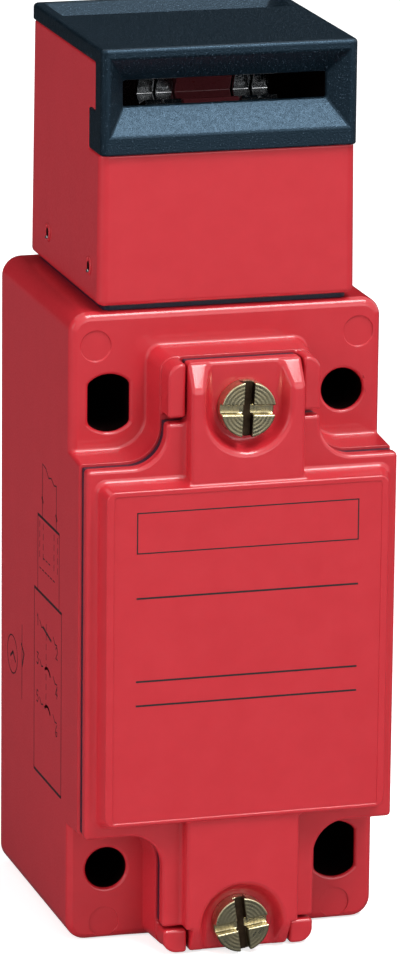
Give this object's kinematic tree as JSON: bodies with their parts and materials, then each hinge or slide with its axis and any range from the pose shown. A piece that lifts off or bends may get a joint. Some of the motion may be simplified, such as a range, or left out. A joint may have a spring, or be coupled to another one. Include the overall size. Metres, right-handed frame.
{
  "type": "tongue interlock switch",
  "caption": "Guard-door safety switch: cast body with lift-off cover and cable entry, turret head with tongue slots, and a cam rotor that works a contact block.",
  "frame": {"origin": "middle of the underside, on the plane of the cable-entry face", "axes": "+X across the front towards the viewer's right, +Y from the cover to the mounting face, +Z from the cable entry to the head"},
  "size_m": [0.04, 0.044, 0.1135],
  "materials": {
    "red_casting": "smooth semi-gloss red enamel on zinc die casting",
    "bare_casting": "unpainted zinc die casting",
    "hood_plastic": "fine-textured blue-black polyamide",
    "gasket_rubber": "dark blue-black nitrile",
    "seal_rubber": "black nitrile",
    "zinc_steel": "yellow zinc plating",
    "plain_steel": "turned",
    "bright_steel": "punched, nickel plated",
    "spring_steel": "drawn wire",
    "bearing_brass": "turned",
    "contact_brass": "stamped strip, silvered tips",
    "white_nylon": "natural nylon",
    "cam_plastic": "moulded dark red acetal",
    "carriage_plastic": "moulded cream thermoset",
    "block_plastic": "moulded dark grey thermoset",
    "block_cover_plastic": "moulded grey",
    "earth_steel": "green zinc plating"
  },
  "bodies": {
    "housing": {"body_housing": "red_casting", "contact_block_base": "block_plastic", "contact_block_cover": "block_cover_plastic", "spring_seat": "block_plastic", "fixed_contacts": "contact_brass", "terminal_clamps": "zinc_steel", "terminal_screws": "zinc_steel", "contact_block_screws": "zinc_steel", "earth_clamp": "zinc_steel", "earth_screw": "earth_steel", "return_spring": "spring_steel"},
    "cover": {"front_cover": "red_casting", "cover_gasket": "gasket_rubber", "cover_screws": "zinc_steel", "screw_retainers": "white_nylon"},
    "head": {"head_casing": "red_casting", "slot_hood": "hood_plastic", "head_base": "bare_casting", "spigot_seal": "seal_rubber", "head_gasket": "gasket_rubber", "retaining_ring": "plain_steel", "ring_screws": "zinc_steel", "plunger_guide": "bearing_brass", "plunger_seal": "seal_rubber", "rotor_shaft": "plain_steel"},
    "rotor": {"rotor_cam": "cam_plastic", "coding_discs": "bright_steel", "rotor_bushes": "white_nylon"},
    "plunger": {"plunger": "plain_steel", "plunger_clip": "spring_steel"},
    "carriage": {"contact_carriage": "carriage_plastic", "carriage_cap": "plain_steel", "bridge_contacts": "contact_brass", "contact_springs": "spring_steel"}
  },
  "joints": [
    {"name": "head_turn", "type": "hinge", "parent": "housing", "child": "head", "pos_m": [0, 0.0046, 0.0812], "axis": [0, 0, 1], "range_deg": [-90, 180]},
    {"name": "rotor_turn", "type": "hinge", "parent": "head", "child": "rotor", "pos_m": [0, 0.0046, 0.098], "axis": [-1, 0, 0], "range_deg": [0, 60]},
    {"name": "plunger_slide", "type": "slide", "parent": "head", "child": "plunger", "axis": [0, 0, 1], "range_m": [0, 0.003]},
    {"name": "carriage_slide", "type": "slide", "parent": "housing", "child": "carriage", "axis": [0, 0, 1], "range_m": [0, 0.003], "deforming": ["return_spring"]},
    {"name": "cover_lift", "type": "slide", "parent": "housing", "child": "cover", "axis": [0, -1, 0], "range_m": [0, 0.03]}
  ],
  "couplings": [
    {"joint": "plunger_slide", "follows": "rotor_turn", "m_per_rad": 0.002864},
    {"joint": "carriage_slide", "follows": "rotor_turn", "m_per_rad": 0.002864}
  ]
}
